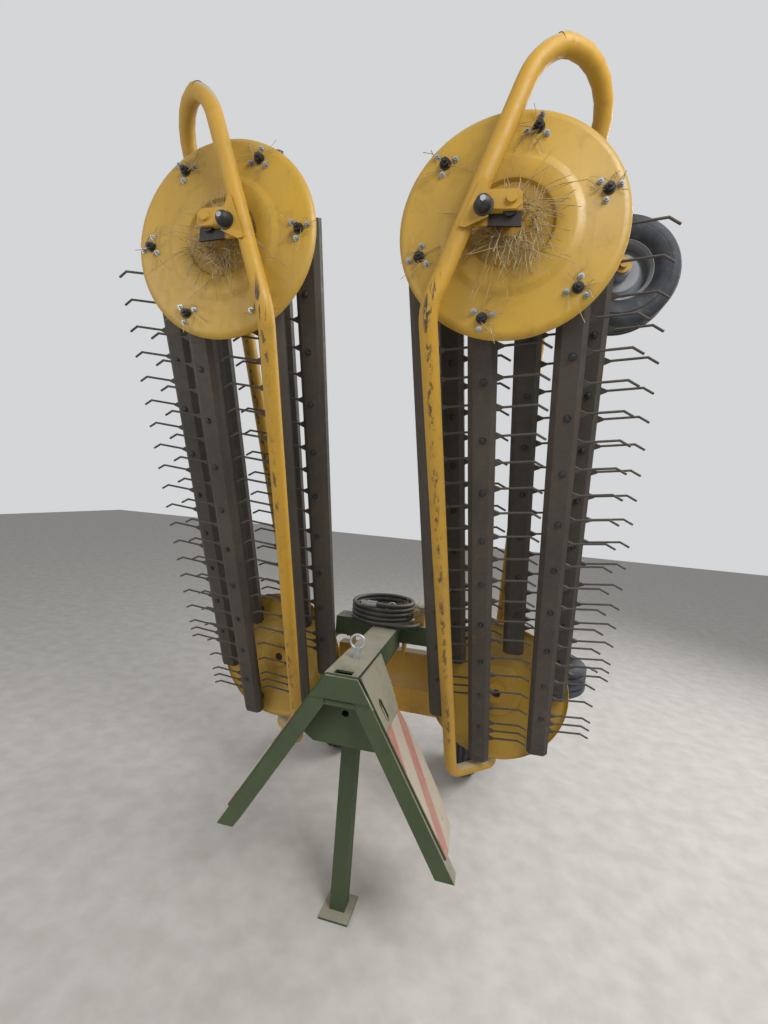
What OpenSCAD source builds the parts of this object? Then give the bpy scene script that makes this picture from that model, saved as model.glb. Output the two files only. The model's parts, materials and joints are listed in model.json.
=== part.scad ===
// Twin rotary hay rake, folded up for parking on its stand.
// X across the machine, Y from the coupling (front) to the rear, Z up, floor at Z = 0.
// The right reel is drawn and the left one is its mirror image.

/* [Reels] */
// Outer diameter of a reel disc
disc_d = 640; // [600:10:680]
// Sheet thickness of a reel disc
disc_sheet = 4; // [3:0.5:5]
// How far the disc's rim is turned towards the bars
rim_depth = 14; // [8:1:16]
// Diameter of the circle on which the bar pins sit
pin_circle_d = 532; // [500:4:540]
// Side position of the upper disc's centre
upper_x = 454; // [440:2:480]
// Height of the upper disc's centre
upper_z = 2470; // [2400:10:2500]
// Side position of the lower disc's centre
lower_x = 543; // [530:1:560]
// Height of the lower disc's centre
lower_z = 800; // [790:2:820]
// Front position of the upper disc's plane
upper_y = -844; // [-860:2:-830]
// Position of the lower disc's plane
lower_y = 41; // [30:1:50]

/* [Tine bars] */
// Width of a tine bar
bar_w = 90; // [80:2:96]
// Depth of a tine bar's folded section
bar_h = 42; // [36:1:44]
// Sheet thickness of a tine bar
bar_t = 4; // [3:0.5:5]
// Distance from a disc's plane to a bar's centre line at its pin
bar_offset = 66; // [62:1:72]
// How far a bar runs on past its pins
bar_end = 60; // [40:2:62]
// Thickness of a tine's wire
tine_d = 8; // [6:0.5:9]
// Straight length of a tine
tine_l = 122; // [100:2:126]
// Length of a tine's bent tip
tip_l = 38; // [25:1:40]
// Bend of a tine's tip
tip_bend = 35; // [20:1:45]
// Distance between two tines
tine_pitch = 94; // [90:1:98]

/* [Loop frame] */
// Diameter of the round frame tube
tube_d = 54; // [48:1:57]
// Height of the loop's lowest run
loop_low_z = 430; // [425:1:432]
// Height of the loop's top corners
loop_top_z = 2990; // [2960:5:3020]

/* [Fold] */
// Side position of the fold hinge
hinge_x = 340; // [335:1:350]
// Height of the fold hinge
hinge_z = 691; // [680:1:700]
// Diameter of the fold hinge pin
hinge_pin_d = 40; // [36:1:44]
// Diameter of the fold cylinder's barrel
barrel_d = 64; // [56:1:70]
// Diameter of the fold cylinder's rod
rod_d = 30; // [25:1:34]

/* [Headstock] */
// Width of the main beam
beam_w = 120; // [110:2:130]
// Height of the main beam
beam_h = 110; // [100:2:120]
// Height of the main beam's top face
beam_top_z = 1030; // [1020:2:1040]
// Front face of the coupling triangle
coupler_y = -660; // [-670:2:-650]
// Height of the coupling triangle's feet
foot_z = 374; // [350:2:400]
// Distance from the middle to the outer corner of a triangle foot
foot_x = 456; // [430:2:470]
// Outer side of the square tube of a triangle leg
leg_s = 58; // [50:1:64]

/* [Stand] */
// Width of the parking stand's square post
post_w = 62; // [56:1:70]
// Height of the hinge on which the post swings up
post_hinge_z = 800; // [780:5:810]

/* [Wheels] */
// Outer diameter of the tyres
tyre_d = 380; // [360:5:390]
// Width of the tyres
tyre_w = 155; // [140:5:160]
// Diameter of the wheel rims
rim_d = 210; // [190:5:220]
// Diameter of the wheel axles
axle_d = 25; // [20:1:30]
// Diameter of the castor shafts
shaft_d = 32; // [28:1:36]
// Side position of the rear castors
rear_castor_x = 400; // [390:5:420]
// Position of the rear castors' swivel shafts
rear_castor_y = 643; // [640:1:700]

/* [Hose] */
// Outer diameter of the hydraulic supply hose
hose_d = 22; // [18:1:24]
// Radius of the laid-up hose coil at the middle of its turns
coil_r = 150; // [140:2:156]
// Number of turns of the coil
coil_turns = 4; // [2:1:5]

/* [Hidden] */
$fn = 48;

function unit(v) = v / norm(v);

SIDES = ["right", "left"];
bar_count = 6;

// Angle of the first bar pin from the outward direction towards the top, per side
phase = [17.9, 56];

running_gap = 0.3;
disc_r = disc_d / 2;
pin_r = pin_circle_d / 2;
upper_c = [upper_x, upper_y, upper_z];
lower_c = [lower_x, lower_y, lower_z];

// Line of a bar between its two pins, measured on its centre line
bar_from = upper_c + [0, bar_offset, 0];
bar_to = lower_c - [0, bar_offset, 0];
bar_run = norm(bar_to - bar_from);
bar_dir = unit(bar_to - bar_from);
bar_side = unit([1, 0, 0] - bar_dir[0] * bar_dir);
bar_face = cross(bar_dir, bar_side);
pin_stub_r = 14;
pin_bore_r = pin_stub_r + running_gap;
bushing_r = 24;

// Hub and axle of a disc
hub_r = 46;
axle_r = 20;
boss_rise = 10;

// Centre line of the loop frame's tube: corner points and their bend radii
tube_r = tube_d / 2;
front_gap = 95;
rear_gap = 127;
lean = (bar_to - bar_from)[1] / (bar_from - bar_to)[2];
function front_y(z) = bar_from[1] - front_gap + lean * (upper_z - pin_r - z);
function rear_y(z) = bar_from[1] + rear_gap + lean * (upper_z + pin_r - z);
knee_x = upper_x - 204;
knee_z = upper_z - 255;
top_low = [upper_x + 41, upper_y - 59, loop_top_z - 97];
top_high = [upper_x + 279, upper_y + 64, loop_top_z];
rear_knee_z = upper_z - 125;
low_rear_x = lower_x - 16;
low_side = [lower_x + 5, lower_y + 51, loop_low_z];
loop = [
    // corner, bend radius
    [[knee_x, front_y(knee_z) - 28, knee_z], 140],
    [top_low, 175],
    [top_high, 165],
    [[upper_x + 117, rear_y(rear_knee_z) - 4, rear_knee_z], 200],
    [[low_rear_x, rear_y(loop_low_z), loop_low_z], 70],
    [low_side, 60],
    [[lower_x - 167, front_y(loop_low_z), loop_low_z], 80]];
loop_aside = unit([0.78, -0.47, -0.21]);

// Fold cylinder between its base on the cross beam and the swing arm
cyl_y = 375;
eye_t = 24;
eye_r = 26;
eye_pin_r = 12;
cyl_base = [55, cyl_y, 955];
cyl_eye = [hinge_x + 42, cyl_y, hinge_z + 155];
cyl_dir = unit(cyl_eye - cyl_base);
cyl_len = norm(cyl_eye - cyl_base);
barrel_l = 262;

// Swing arm plate
arm_y = 272;
arm_t = 18;
sleeve_y0 = 150;
motor_y1 = lower_y + 89;

// Wheels: drop from the fork's crown to the axle, and trail
wheel_drop = tyre_d / 2 + 15;
outer_trail = 80;
inner_trail = 70;
rear_trail = 100;
outer_castor = [821 - wheel_drop, -393, loop_top_z - 405];
inner_castor = [785 - wheel_drop, 258, lower_z + 30];
rear_castor = [rear_castor_x, rear_castor_y, tyre_d / 2 + wheel_drop];
crown_t = 12;
leg_t = 8;
leg_gap = 12;
sleeve_wall = 9;
sleeve_l = 120;

// Headstock
cross_beam_y0 = 90;
cross_beam_l = 560;
cross_beam_h = 92;
cross_beam_z0 = beam_top_z - cross_beam_h;
beam_z0 = beam_top_z - beam_h;
wall = 8;
cross_back = cross_beam_y0 + beam_w + 52;

// Heights of the folds in the cross frame's profile
frame_z0 = 560;
frame_waist_z = 620;
frame_ridge_z = 695;
frame_shoulder_z = 805;
frame_top_z = 862;
yoke_inset = 54;

plate_t = 10;
side_gap = 0.5;
top_half = beam_w / 2 + 2 * side_gap;
top_z = beam_top_z - 8;
leg_run = [foot_x - top_half, 0, foot_z - top_z];
leg_w = leg_s * norm(leg_run) / (top_z - foot_z);
cap_z = beam_z0 + 18;
leg_y = coupler_y + 5;
function leg_x(z) = top_half + (top_z - z) * (foot_x - top_half) / (top_z - foot_z);
coupler_depth = 310;
side_front = 18;
web_y = coupler_y + 88;
stand_y = coupler_y + 206;
carrier_z = 570;
carrier_top = carrier_z + 70;

// Hydraulic hose: its port on the valve block, its lead and its coil on the beams
block_w = 50;
block_x = 120;
block_y = 108;
hose_z = beam_top_z + running_gap + hose_d / 2;
coil_x = -50;
coil_y = 150;
coil_pitch = hose_d + 0.5;
coil_h = coil_turns * coil_pitch + hose_d + 8;
lead_route = [
    // across, along
    [145, 108], [145, 92], [143, 74], [137, 53], [126, 33], [109, 15], [87, 4], [62, 0], [36, 0], [10, 0]];

yellow = "goldenrod";
green = "darkolivegreen";
rubber = "darkslategray";
steel = "silver";
dark_steel = "dimgray";

// Draws the children on the right side or mirrored to the left
module on_side(side) {
    mirror([side == "left" ? 1 : 0, 0, 0]) children();
}

// A round bar from one point to another
module round_bar(from, to, d) {
    v = to - from;
    translate(from)
        rotate([0, acos(v[2] / norm(v)), atan2(v[1], v[0])])
            cylinder(h = norm(v), d = d);
}

// Frame with its X, Y and Z axes along the given unit vectors, at a point
module in_frame(ax, ay, az, at) {
    multmatrix([
        [ax[0], ay[0], az[0], at[0]],
        [ax[1], ay[1], az[1], at[1]],
        [ax[2], ay[2], az[2], at[2]],
        [0, 0, 0, 1]]) children();
}

// A cylinder along Y between two positions
module y_pin(x, z, y0, y1, r) {
    translate([x, y0, z]) rotate([-90, 0, 0]) cylinder(h = y1 - y0, r = r);
}

// Centre line points and directions of a closed loop of corners with their bend radii
function wrap(v, i) = v[(i + len(v)) % len(v)];
function leg_dir(path, i) = unit(wrap(path, i + 1)[0] - wrap(path, i)[0]);
function turn_at(path, i) = acos(leg_dir(path, i - 1) * leg_dir(path, i));
function arc_start(path, i) =
    wrap(path, i)[0] - wrap(path, i)[1] * tan(turn_at(path, i) / 2) * leg_dir(path, i - 1);
function arc_centre(path, i) =
    wrap(path, i)[0] + wrap(path, i)[1] / cos(turn_at(path, i) / 2) * unit(leg_dir(path, i) - leg_dir(path, i - 1));
function arc_rings(path, i, steps) = [for (j = [0:steps]) let (
    centre = arc_centre(path, i),
    out = unit(arc_start(path, i) - centre),
    ahead = leg_dir(path, i - 1),
    a = turn_at(path, i) * j / steps)
    [centre + wrap(path, i)[1] * (cos(a) * out + sin(a) * ahead), cos(a) * ahead - sin(a) * out]];

// Round tube along a closed loop of corners, with a direction that no part of the loop follows
module bent_loop(path, d, aside, sides = 18, steps = 7) {
    rings = [for (i = [0:len(path) - 1]) each arc_rings(path, i, steps)];
    count = len(rings);
    points = [for (ring = rings) let (
        n1 = unit(aside - (aside * ring[1]) * ring[1]),
        n2 = cross(ring[1], n1))
        for (k = [0:sides - 1]) ring[0] + d / 2 * (cos(k * 360 / sides) * n1 + sin(k * 360 / sides) * n2)];
    faces = [for (i = [0:count - 1]) for (k = [0:sides - 1]) let (
        a = i * sides + k,
        b = i * sides + (k + 1) % sides,
        c = ((i + 1) % count) * sides + k,
        e = ((i + 1) % count) * sides + (k + 1) % sides)
        each [[a, e, b], [a, c, e]]];
    polyhedron(points, faces);
}

// Pressed disc in the X-Z plane: the sheet's front line at Y = 0, its rim turned to +Y
module pressed_disc() {
    s = disc_sheet;
    front_line = [
        // radius, height towards the front
        [hub_r - 10, 2], [0.34 * disc_r, 2], [0.38 * disc_r, boss_rise], [0.56 * disc_r, boss_rise],
        [0.63 * disc_r, 0], [disc_r - 20, 0], [disc_r - 6, -rim_depth + 5], [disc_r, -rim_depth]];
    outline = concat(front_line, [for (i = [len(front_line) - 1:-1:0]) front_line[i] - [0, s]]);
    rotate([90, 0, 0]) rotate_extrude($fn = 96) polygon(outline);
}

// Disc with its hub and the six bar pins. outward is -1 when its face looks to the front.
module reel_disc(centre, side_index, outward) {
    back = disc_sheet;
    pin_end = bar_offset - 16;
    hub_front = 22;
    hub_back = 44;
    translate(centre) mirror([0, outward > 0 ? 1 : 0, 0]) {
        difference() {
            union() {
                color(yellow) pressed_disc();
                color(yellow) y_pin(0, 0, -hub_front, hub_back, hub_r);
            }
            y_pin(0, 0, -hub_front - 1, hub_back + 1, axle_r + running_gap);
        }
        for (k = [0:bar_count - 1]) {
            a = (side_index == 0 ? phase[0] : phase[1]) - k * 360 / bar_count;
            x = pin_r * cos(a);
            z = pin_r * sin(a);
            color(dark_steel) y_pin(x, z, -22, pin_end, pin_stub_r);
            color(yellow) y_pin(x, z, 0.5, 7, 29);
        }
    }
}

module upper_disc(i) {
    reel_disc(upper_c, i, -1);
}

module lower_disc(i) {
    reel_disc(lower_c, i, 1);
}

// Folded section of a tine bar, open to its rear
module bar_section() {
    w = bar_w / 2;
    h = bar_h / 2;
    t = bar_t;
    bevel_x = 17;
    bevel_y = 15;
    polygon([[-w, -h], [-w, h - bevel_y], [-w + bevel_x, h], [w - bevel_x, h], [w, h - bevel_y], [w, -h],
        [w - t, -h], [w - t, h - bevel_y - 1], [w - bevel_x - 1, h - t], [-w + bevel_x + 1, h - t],
        [-w + t, h - bevel_y - 1], [-w + t, -h]]);
}

// One spring tine on its tapered root at the bar's outer edge
module tine(at) {
    root_l = 22;
    root_t = 10;
    lift = 4;
    out = [cos(lift), 0, -sin(lift)];
    bent = [cos(tip_bend - lift), 0, sin(tip_bend - lift)];
    foot = [bar_w / 2 + 4, 0, at];
    knee = foot + tine_l * out;
    round_bar(foot, knee + 1.5 * out, tine_d);
    round_bar(knee - 1.5 * bent, knee + tip_l * bent, tine_d);
    translate([bar_w / 2 - bar_t / 2, root_t / 2, at]) rotate([90, 0, 0])
        linear_extrude(root_t) polygon([[0, -14], [root_l, -4], [root_l, 3], [0, 12]]);
}

module tine_bar(i, k) {
    a = phase[i] - (k - 1) * 360 / bar_count;
    shift = [pin_r * cos(a), 0, pin_r * sin(a)];
    first_tine = 60;
    whole = 18;
    boss_len = bar_offset - 8;
    color("dimgray") translate(shift) difference() {
        union() {
            in_frame(bar_side, bar_face, bar_dir, bar_from) {
                translate([0, 0, -bar_end]) linear_extrude(bar_run + 2 * bar_end) bar_section();
                for (n = [0:whole - 1]) tine(first_tine + n * tine_pitch);
                for (n = [1:2]) tine(first_tine + (whole - 1 + n / 2) * tine_pitch);
            }
            y_pin(upper_x, upper_z, upper_y + 8, upper_y + boss_len, bushing_r);
            y_pin(lower_x, lower_z, lower_y - bar_offset - 20, lower_y - 8, bushing_r);
        }
        y_pin(upper_x, upper_z, upper_y, upper_y + bar_offset + 6, pin_bore_r);
        y_pin(lower_x, lower_z, lower_y - bar_offset - 6, lower_y, pin_bore_r);
    }
}

// Castor sleeve along X with its bore
module x_sleeve(at) {
    translate(at - [sleeve_l + 2, 0, 0]) rotate([0, 90, 0])
        cylinder(h = sleeve_l, r = shaft_d / 2 + sleeve_wall);
}

module x_bore(at) {
    translate(at - [sleeve_l + 30, 0, 0]) rotate([0, 90, 0])
        cylinder(h = sleeve_l + 31, r = shaft_d / 2 + running_gap);
}

// Closed loop of round tube with the disc axles, the swing arm and the castor sleeves
module loop_frame() {
    axle_front = upper_y - 84;
    arm_top = upper_y - 66;
    gusset_x = upper_x - 118;
    leg_z = outer_castor[2];
    leg_u = (loop[2][0][2] - leg_z) / (loop[2][0][2] - loop[3][0][2]);
    leg_at = loop[2][0] + leg_u * (loop[3][0] - loop[2][0]);
    color(yellow) difference() {
        union() {
            bent_loop(loop, tube_d, loop_aside);
            // bracket from the tube to the upper axle
            translate([gusset_x, arm_top, upper_z - 34]) rotate([90, 0, 0])
                linear_extrude(8) polygon([[0, 0], [150, -10], [150, 58], [60, 70], [0, 90]]);
            y_pin(upper_x, upper_z, axle_front, upper_y + 52, axle_r);
            // plate that holds the motor on the rear leg
            translate([lower_x - 60, motor_y1, lower_z - 60]) cube([120, 10, 120]);
            translate([lower_x - 34, motor_y1 + 8, lower_z - 54]) cube([54, rear_y(lower_z - 44) - motor_y1 - 8, 20]);
            // swing arm
            translate([0, arm_y + arm_t, 0]) rotate([90, 0, 0]) linear_extrude(arm_t)
                polygon([[hinge_x - 38, hinge_z + 10], [cyl_eye[0] - 26, cyl_eye[2] + 16], [cyl_eye[0] + 10, cyl_eye[2] + 30],
                    [inner_castor[0] - 19, lower_z + 62], [inner_castor[0] - 7, lower_z - 170], [lower_x - 50, lower_z - 210],
                    [hinge_x + 4, hinge_z - 40], [hinge_x - 30, hinge_z - 24]]);
            y_pin(hinge_x, hinge_z, sleeve_y0, arm_y + arm_t + 4, hinge_pin_d / 2 + 14);
            y_pin(cyl_eye[0], cyl_eye[2], arm_y - 4, cyl_y - rod_d / 2 - 5, eye_pin_r + 8);
            // struts from the plate to the tube of the rear leg
            for (z = [lower_z - 150, lower_z + 10])
                translate([lower_x - 30, rear_y(z) - 4, z - 20]) cube([48, arm_y - rear_y(z) + 8, 40]);
            x_sleeve(outer_castor);
            x_sleeve(inner_castor);
            round_bar(leg_at, outer_castor - [sleeve_l / 2, 14, 0], 40);
        }
        y_pin(hinge_x, hinge_z, sleeve_y0 - 1, arm_y + arm_t + 5, hinge_pin_d / 2 + running_gap);
        x_bore(outer_castor);
        x_bore(inner_castor);
    }
}

// Drive motor behind the lower disc
module drive_motor() {
    color(dark_steel) {
        y_pin(lower_x, lower_z, lower_y + 45, motor_y1, 46);
        y_pin(lower_x, lower_z, lower_y - 30, lower_y + 46, axle_r);
    }
}

module fold_barrel() {
    side_axis = [0, 1, 0];
    across = cross(side_axis, cyl_dir);
    color(dark_steel) difference() {
        union() {
            y_pin(cyl_base[0], cyl_base[2], cyl_y - eye_t / 2, cyl_y + eye_t / 2, eye_r);
            in_frame(across, side_axis, cyl_dir, cyl_base) {
                translate([0, 0, eye_r + 8]) cylinder(h = barrel_l - eye_r - 8, d = barrel_d);
                translate([0, 0, eye_r - 8]) cylinder(h = 20, d = eye_t);
            }
        }
        y_pin(cyl_base[0], cyl_base[2], cyl_y - eye_t, cyl_y + eye_t, eye_pin_r + running_gap);
        in_frame(across, side_axis, cyl_dir, cyl_base)
            translate([0, 0, eye_r + 18]) cylinder(h = barrel_l, d = rod_d + 2 * running_gap);
    }
}

module fold_rod() {
    side_axis = [0, 1, 0];
    across = cross(side_axis, cyl_dir);
    color(steel) {
        y_pin(cyl_eye[0], cyl_eye[2], cyl_y - eye_t / 2, cyl_y + eye_t / 2, eye_r);
        y_pin(cyl_eye[0], cyl_eye[2], cyl_y - eye_t / 2 - 2, cyl_y + eye_t / 2 + 8, eye_pin_r);
        in_frame(across, side_axis, cyl_dir, cyl_base)
            translate([0, 0, eye_r + 20]) cylinder(h = cyl_len - 2 * eye_r, d = rod_d);
    }
}

// Castor fork in its own frame: swivel shaft up along Z, axle behind it along +Y and below
module fork(trail, shaft_l) {
    half = tyre_w / 2 + leg_gap;
    foot_r = 26;
    color(yellow) {
        translate([0, 0, -crown_t / 2]) cylinder(h = shaft_l + crown_t / 2, d = shaft_d);
        union() {
            union() {
                translate([-half - leg_t, -46, -crown_t]) cube([2 * (half + leg_t), 110, crown_t]);
                for (s = [-1, 1])
                    translate([s > 0 ? half : -half - leg_t, 0, 0]) rotate([90, 0, 90])
                        linear_extrude(leg_t) {
                            polygon([[-46, 0], [64, 0], [trail + foot_r - 2, -wheel_drop], [trail - foot_r + 2, -wheel_drop]]);
                            translate([trail, -wheel_drop]) circle(r = foot_r);
                        }
            }
        }
        translate([-half - leg_t - 12, trail, -wheel_drop]) rotate([0, 90, 0])
            cylinder(h = 2 * (half + leg_t) + 24, d = axle_d);
    }
}

// Tyre and rim on an axle along X, centred on the origin
module tyre() {
    r = tyre_d / 2;
    w = tyre_w / 2;
    ri = rim_d / 2;
    color(rubber) rotate([0, 90, 0]) rotate_extrude($fn = 72)
        polygon([[ri, -w + 22], [ri + 14, -w + 10], [ri + 38, -w], [r - 26, -w + 4], [r - 8, -w + 18], [r, -w + 40],
            [r, w - 40], [r - 8, w - 18], [r - 26, w - 4], [ri + 38, w], [ri + 14, w - 10], [ri, w - 22]]);
}

module rim() {
    w = tyre_w / 2 - 22;
    ri = rim_d / 2;
    hub_w = tyre_w / 2 + 6;
    bore = axle_d / 2 + running_gap;
    color("lightslategray") rotate([0, 90, 0]) rotate_extrude($fn = 72)
        polygon([[bore, -hub_w], [30, -hub_w], [30, -22], [64, -30], [74, -18], [ri - 14, -12], [ri - 10, -w],
            [ri, -w], [ri, w], [ri - 10, w], [ri - 10, -6], [74, -8], [64, -20], [30, -10], [30, hub_w], [bore, hub_w]]);
}

// Places of the three castors of a side
module outer_place() {
    in_frame([0, 1, 0], [0, 0, -1], [-1, 0, 0], outer_castor) children();
}

module inner_place() {
    in_frame([0, 0, 1], [0, 1, 0], [-1, 0, 0], inner_castor) children();
}

module rear_place() {
    translate(rear_castor) children();
}

module wheel_place(trail) {
    translate([0, trail, -wheel_drop]) children();
}

// Green coupling triangle: cap plate, hollow square legs, side plates, web plate and the stand's yoke
module coupler_frame() {
    yoke_x = post_w / 2 + 5;
    shelf = leg_x(beam_z0) + 1;
    color(green) {
        translate([0, coupler_y + plate_t, 0]) rotate([90, 0, 0]) linear_extrude(plate_t)
            polygon([[-top_half, top_z], [-leg_x(cap_z) - 3, cap_z], [leg_x(cap_z) + 3, cap_z], [top_half, top_z]]);
        for (s = [0, 1]) mirror([s, 0, 0]) {
            coupler_leg();
            side_plate();
        }
        // shelf under the main beam and web plate between the legs
        translate([-shelf, coupler_y + 8, beam_z0 - wall]) cube([2 * shelf, coupler_depth - 8, wall]);
        difference() {
            translate([0, web_y + wall, 0]) rotate([90, 0, 0]) linear_extrude(wall)
                polygon([[-leg_x(beam_z0) - 1, beam_z0 - 2], [-leg_x(785) - 1, 785], [-120, 728], [120, 728],
                    [leg_x(785) + 1, 785], [leg_x(beam_z0) + 1, beam_z0 - 2]]);
            y_pin(0, 852, web_y - 1, web_y + wall + 1, 14);
        }
        for (s = [-1, 1])
            translate([s * (yoke_x + 5) - 5, web_y + 4, 745]) cube([10, stand_y - web_y + 30, beam_z0 - 747]);
        translate([-yoke_x - 8, stand_y, post_hinge_z]) rotate([0, 90, 0]) cylinder(h = 2 * yoke_x + 16, r = 12);
    }
}

// One leg of the triangle: a square tube, open at its foot
module coupler_leg() {
    head_z = beam_z0 + 40;
    neck_z = beam_z0 - 6;
    head_x = beam_w / 2 + side_gap;
    skin = 6;
    skin_x = skin * leg_w / leg_s;
    translate([0, leg_y + leg_s, 0]) rotate([90, 0, 0]) difference() {
        linear_extrude(leg_s)
            polygon([[head_x, head_z], [leg_x(head_z), head_z], [foot_x, foot_z], [foot_x - leg_w, foot_z],
                [leg_x(neck_z) - leg_w, neck_z], [head_x, neck_z]]);
        translate([0, 0, skin]) linear_extrude(leg_s - 2 * skin)
            polygon([[leg_x(780) - leg_w + skin_x, 780], [leg_x(780) - skin_x, 780],
                [leg_x(foot_z - 5) - skin_x, foot_z - 5], [leg_x(foot_z - 5) - leg_w + skin_x, foot_z - 5]]);
    }
}

// Frame of a leg's outer side: X to the rear, Y down along the leg, Z inwards
module leg_frame() {
    along = unit(leg_run);
    in_frame([0, 1, 0], along, cross([0, 1, 0], along), [top_half, coupler_y, top_z]) children();
}

// Side plate of a leg, deep at the top, with an oval slot
module side_plate() {
    leg_l = norm(leg_run);
    leg_frame() difference() {
        translate([0, 0, -wall]) linear_extrude(wall + 0.4)
            polygon([[side_front, 2], [coupler_depth, 2], [268, 119], [214, 215], [238, 375], [222, 545], [176, leg_l - 92],
                [80, leg_l - 80], [side_front, leg_l - 80]]);
        for (at = [128, 178]) translate([84, at, -wall - 1]) cylinder(h = wall + 4, r = 18);
        translate([66.5, 128, -wall - 1]) cube([35, 50, wall + 4]);
    }
}

module marker_board() {
    board_t = 3;
    color("mistyrose") leg_frame() translate([0, 0, -wall - board_t - 0.2]) linear_extrude(board_t)
        polygon([[side_front + 2, 208], [211, 208], [236, 375], [220, 545], [174, norm(leg_run) - 94], [78, norm(leg_run) - 82],
            [side_front + 2, norm(leg_run) - 82]]);
}

module main_beam() {
    y0 = coupler_y + plate_t;
    inner_l = cross_beam_y0 - y0 - 9;
    color(green) difference() {
        translate([-beam_w / 2, y0, beam_z0]) cube([beam_w, cross_beam_y0 - y0, beam_h]);
        translate([-beam_w / 2 + wall, y0 - 1, beam_z0 + wall]) cube([beam_w - 2 * wall, inner_l, beam_h - 2 * wall]);
        translate([-34, y0 + 6, beam_top_z - wall - 1]) cube([68, 36, wall + 2]);
    }
}

// Green cross beam at the rear end of the main beam, with the lugs of the fold cylinders
module cross_beam() {
    lug = 10;
    inner_l = cross_beam_l - 20;
    y0 = cyl_y - eye_t / 2 - 3 - lug;
    y1 = cyl_y + eye_t / 2 + 3;
    color(green) {
        difference() {
            translate([-cross_beam_l / 2, cross_beam_y0, cross_beam_z0]) cube([cross_beam_l, beam_w, cross_beam_h]);
            translate([-inner_l / 2, cross_beam_y0 + wall, cross_beam_z0 + wall])
                cube([inner_l, beam_w - 2 * wall, cross_beam_h - 2 * wall]);
        }
        translate([-20, cross_beam_y0 + beam_w - 2, cyl_base[2] - 14]) cube([40, y1 + lug - cross_beam_y0 - beam_w + 2, 40]);
        for (y = [y0, y1]) {
            translate([-cyl_base[0], y, cyl_base[2] - 20]) cube([2 * cyl_base[0], lug, 40]);
            for (s = [-1, 1]) y_pin(s * cyl_base[0], cyl_base[2], y, y + lug, 24);
        }
        for (s = [-1, 1]) y_pin(s * cyl_base[0], cyl_base[2], y0 - 6, y1 + lug + 6, eye_pin_r);
    }
}

// Yellow stepped cross frame under the cross beam, with its hangers and the yokes of the fold hinges
module headstock() {
    half = hinge_x - yoke_inset;
    y0 = cross_beam_y0 + 50;
    yoke_t = 15;
    yoke_end = hinge_x + 44;
    outer = [[y0 + 50, frame_top_z], [y0 + 50, frame_shoulder_z], [y0, frame_ridge_z], [y0 + 25, frame_waist_z],
        [y0 + 25, frame_z0], [cross_back, frame_z0], [cross_back, frame_top_z]];
    inner = [[y0 + 58, frame_top_z - 8], [y0 + 58, frame_shoulder_z - 2], [y0 + 9, frame_ridge_z], [y0 + 33, frame_waist_z + 2],
        [y0 + 33, frame_z0 + 8], [cross_back - 8, frame_z0 + 8], [cross_back - 8, frame_top_z - 8]];
    yoke_y = [sleeve_y0 - 5 - yoke_t, arm_y + arm_t + 20];
    color(yellow) {
        difference() {
            translate([-half, 0, 0]) rotate([90, 0, 90]) linear_extrude(2 * half) polygon(outer);
            translate([-half + 10, 0, 0]) rotate([90, 0, 90]) linear_extrude(2 * half - 20) polygon(inner);
        }
        for (x = [-215, -75, 61, 201])
            translate([x, y0 + 4, frame_top_z - 14]) cube([14, beam_w - 54, cross_beam_z0 - frame_top_z + 14]);
        for (s = [-1, 1]) {
            translate([s > 0 ? half - 10 : -half, yoke_y[0], hinge_z - 20]) cube([10, yoke_y[1] + yoke_t - yoke_y[0], 79]);
            for (y = yoke_y)
                translate([s > 0 ? half - 10 : -yoke_end, y, hinge_z - 46]) cube([yoke_end - half + 10, yoke_t, 92]);
            y_pin(s * hinge_x, hinge_z, yoke_y[0] - 10, yoke_y[1] + yoke_t + 6, hinge_pin_d / 2);
        }
    }
}

// Ring on a flat shank, standing on the beam and turned about its foot
module ring_pin(y, turn) {
    ring_r = 27.5;
    shank_w = 26;
    shank_h = 45;
    translate([0, y, beam_top_z]) rotate([0, 0, turn]) {
        translate([-shank_w / 2, -6, 0]) cube([shank_w, 12, shank_h]);
        translate([0, 0, shank_h - 4 + ring_r]) rotate([90, 0, 0]) rotate_extrude() translate([ring_r, 0]) circle(d = 9);
    }
}

module ring_pins() {
    color(steel) {
        ring_pin(coupler_y + 186, 0);
        ring_pin(cross_beam_y0 + 20, 38);
    }
}

// Valve block on the cross beam, with the hose's port at its front
module valve_block() {
    block_l = 76;
    block_h = 48;
    collar = 4;
    color(yellow) {
        difference() {
            translate([block_x, block_y + collar, beam_top_z]) cube([block_w, block_l, block_h]);
            translate([block_x - 1, block_y + collar + 30, beam_top_z + 30]) cube([14, 18, block_h]);
        }
        y_pin(block_x + block_w / 2, hose_z, block_y, block_y + collar + 1, hose_d / 2);
        translate([block_x + 34, block_y + 54, beam_top_z + block_h - 1]) cylinder(h = 17, d = 22);
    }
}

// Round tube along an open line of points, ends closed
module open_tube(points, d, sides = 10) {
    last = len(points) - 1;
    function ahead(i) = unit(points[min(i + 1, last)] - points[max(i - 1, 0)]);
    rings = [for (i = [0:last]) let (n1 = unit(cross([0, 0, 1], ahead(i))), n2 = cross(ahead(i), n1))
        for (k = [0:sides - 1]) points[i] + d / 2 * (cos(k * 360 / sides) * n1 + sin(k * 360 / sides) * n2)];
    faces = [for (i = [0:last - 1]) for (k = [0:sides - 1]) let (
        a = i * sides + k,
        b = i * sides + (k + 1) % sides)
        each [[a, b, b + sides], [a, b + sides, a + sides]]];
    polyhedron(rings, concat(faces, [[for (k = [sides - 1:-1:0]) k], [for (k = [0:sides - 1]) last * sides + k]]));
}

// Hydraulic hose: lead from the valve block, coil around the rear ring, coupling plug on the coil
module hose_lead() {
    color("black") open_tube([for (p = lead_route) [p[0], p[1], hose_z]], hose_d);
}

module hose_coil() {
    color("black") translate([coil_x, coil_y, beam_top_z + running_gap])
        rotate_extrude($fn = 72) translate([coil_r - hose_d / 2, 0]) square([hose_d, coil_h]);
}

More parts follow.
